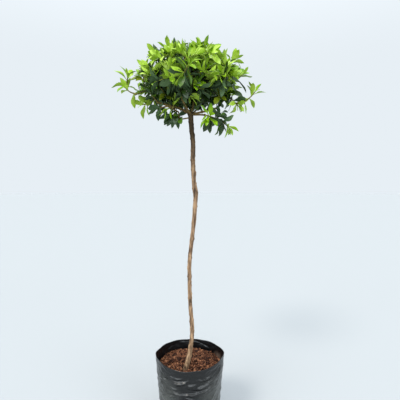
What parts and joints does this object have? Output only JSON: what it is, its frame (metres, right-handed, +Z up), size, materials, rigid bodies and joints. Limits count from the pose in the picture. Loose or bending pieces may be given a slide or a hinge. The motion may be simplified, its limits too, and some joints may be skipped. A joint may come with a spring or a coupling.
{
  "type": "standard lollipop topiary",
  "caption": "Young evergreen shrub trained as a standard: a slim bare stem carrying a rounded leafy crown, rooted in a soft film grow bag filled with bark and coir.",
  "frame": {"origin": "centre of the grow bag's flat underside", "axes": "+Z up along the stem, +X to the side of the short right bough, -Y the side on which the stem leaves the growing medium"},
  "size_m": [0.5259, 0.4841, 1.3956],
  "materials": {
    "bag_film": "satin",
    "growing_medium": "matte",
    "bark": "matte",
    "foliage": "satin"
  },
  "bodies": {
    "root": {"grow_bag": "bag_film", "growing_medium": "growing_medium", "trunk": "bark", "bough_left": "bark", "bough_right": "bark", "bough_front": "bark", "bough_back": "bark", "bough_low_right": "bark", "leader": "bark", "foliage_left": "foliage", "foliage_right": "foliage", "foliage_front": "foliage", "foliage_back": "foliage", "foliage_top_left": "foliage", "foliage_top_right": "foliage", "foliage_top_back": "foliage", "foliage_low_right": "foliage", "foliage_low_left": "foliage"}
  },
  "joints": []
}
